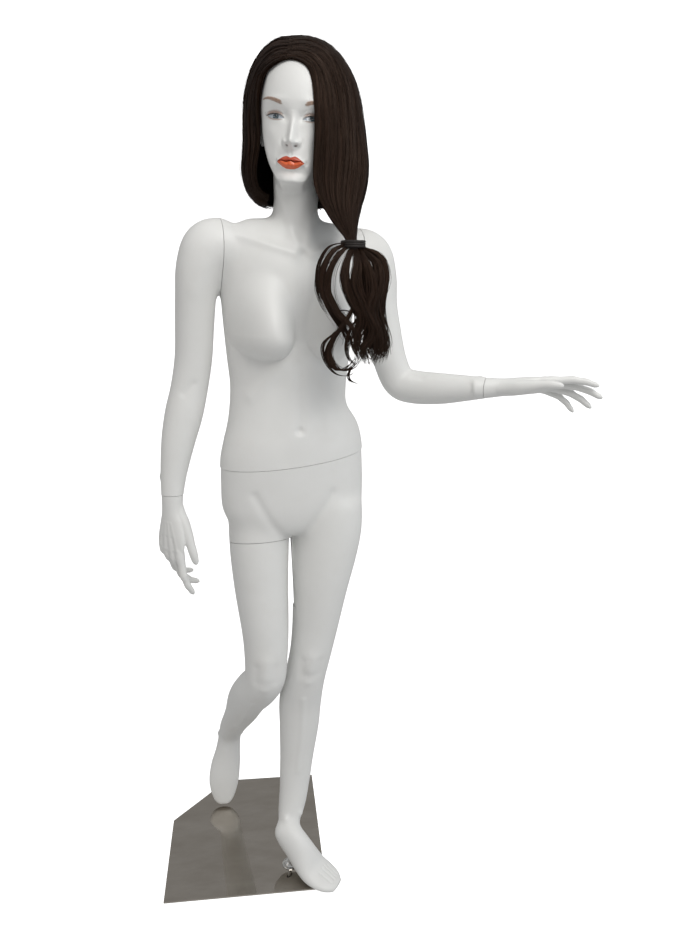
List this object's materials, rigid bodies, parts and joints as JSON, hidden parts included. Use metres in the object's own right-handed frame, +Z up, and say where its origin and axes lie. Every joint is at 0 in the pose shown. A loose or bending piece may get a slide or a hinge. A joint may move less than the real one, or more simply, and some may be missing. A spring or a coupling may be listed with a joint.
{
  "type": "full body mannequin",
  "caption": "Standing white display mannequin in a walking pose with one arm held out, jointed at waist, thigh, shoulders and wrists, with a side-tied wig on a mirror base plate.",
  "frame": {"origin": "middle of the square base's underside, on the floor", "axes": "+X along the plate's front edge towards the figure's left hand, +Y towards the figure's back, +Z up; the figure faces -Y"},
  "size_m": [0.9315, 0.4404, 1.8555],
  "materials": {
    "body_paint": "satin-matte white paint on moulded fibreglass",
    "mirror_steel": "dark mirror-polished stainless steel",
    "chrome": "polished chrome",
    "fitting_steel": "zinc-plated steel",
    "board_wood": "sealed plywood",
    "pad_foam": "thin black foam rubber",
    "hair_fibre": "glossy dark brown synthetic fibre",
    "cap_net": "elastic net",
    "tie_cord": "coiled elastic cord",
    "lash": "matte black fibre"
  },
  "bodies": {
    "base": {"base_pad": "pad_foam", "base_plate": "mirror_steel", "rod_flange": "chrome", "foot_rod": "chrome", "rod_bolt": "fitting_steel"},
    "lower_body": {"lower_body_shell": "body_paint", "rod_socket": "fitting_steel", "ankle_screw": "fitting_steel", "waist_socket_board": "board_wood", "waist_key_plate": "fitting_steel", "thigh_socket_board": "board_wood", "thigh_key_plate": "fitting_steel"},
    "upper_body": {"upper_body_shell": "body_paint", "waist_stud_board": "board_wood", "waist_stud": "fitting_steel", "right_shoulder_socket_board": "board_wood", "right_shoulder_key_plate": "fitting_steel", "left_shoulder_socket_board": "board_wood", "left_shoulder_key_plate": "fitting_steel", "right_lashes": "lash", "left_lashes": "lash"},
    "right_leg": {"right_leg_shell": "body_paint", "thigh_stud_board": "board_wood", "thigh_stud": "fitting_steel"},
    "right_arm": {"right_arm_shell": "body_paint", "right_shoulder_stud_board": "board_wood", "right_shoulder_stud": "fitting_steel", "right_wrist_socket_ring": "fitting_steel"},
    "left_arm": {"left_arm_shell": "body_paint", "left_shoulder_stud_board": "board_wood", "left_shoulder_stud": "fitting_steel", "left_wrist_socket_ring": "fitting_steel"},
    "right_hand": {"right_hand": "body_paint", "right_wrist_spigot": "fitting_steel"},
    "left_hand": {"left_hand": "body_paint", "left_wrist_spigot": "fitting_steel"},
    "wig": {"wig_cap": "cap_net", "wig_hair": "hair_fibre", "hair_tie": "tie_cord", "wig_ponytail": "hair_fibre", "wig_curl": "hair_fibre"}
  },
  "joints": [
    {"name": "figure_lift", "type": "slide", "parent": "base", "child": "lower_body", "axis": [0, 0, 1], "range_m": [0, 0.08]},
    {"name": "waist_turn", "type": "hinge", "parent": "lower_body", "child": "upper_body", "pos_m": [0.102, 0.015, 1.026], "axis": [-0.1113, 0, 0.9938], "range_deg": [0, 45]},
    {"name": "right_leg_turn", "type": "hinge", "parent": "lower_body", "child": "right_leg", "pos_m": [0.027, 0, 0.833], "axis": [-0.0676, 0.2511, 0.9656], "range_deg": [0, 17]},
    {"name": "right_arm_turn", "type": "hinge", "parent": "upper_body", "child": "right_arm", "pos_m": [-0.056, 0.004, 1.452], "axis": [-0.9781, -0.2079, 0], "range_deg": [-20, 60]},
    {"name": "left_arm_turn", "type": "hinge", "parent": "upper_body", "child": "left_arm", "pos_m": [0.232, 0.062, 1.446], "axis": [-0.9781, -0.2079, 0], "range_deg": [-20, 45]},
    {"name": "right_hand_turn", "type": "hinge", "parent": "right_arm", "child": "right_hand", "pos_m": [-0.16, -0.022, 0.948], "axis": [0.0199, -0.0995, -0.9948], "range_deg": [-60, 60]},
    {"name": "left_hand_turn", "type": "hinge", "parent": "left_arm", "child": "left_hand", "pos_m": [0.509, -0.058, 1.2], "axis": [0.8643, -0.5025, 0.0201], "range_deg": [-60, 60]},
    {"name": "wig_lift", "type": "slide", "parent": "upper_body", "child": "wig", "axis": [0, 0, 1], "range_m": [0, 0.08]}
  ]
}
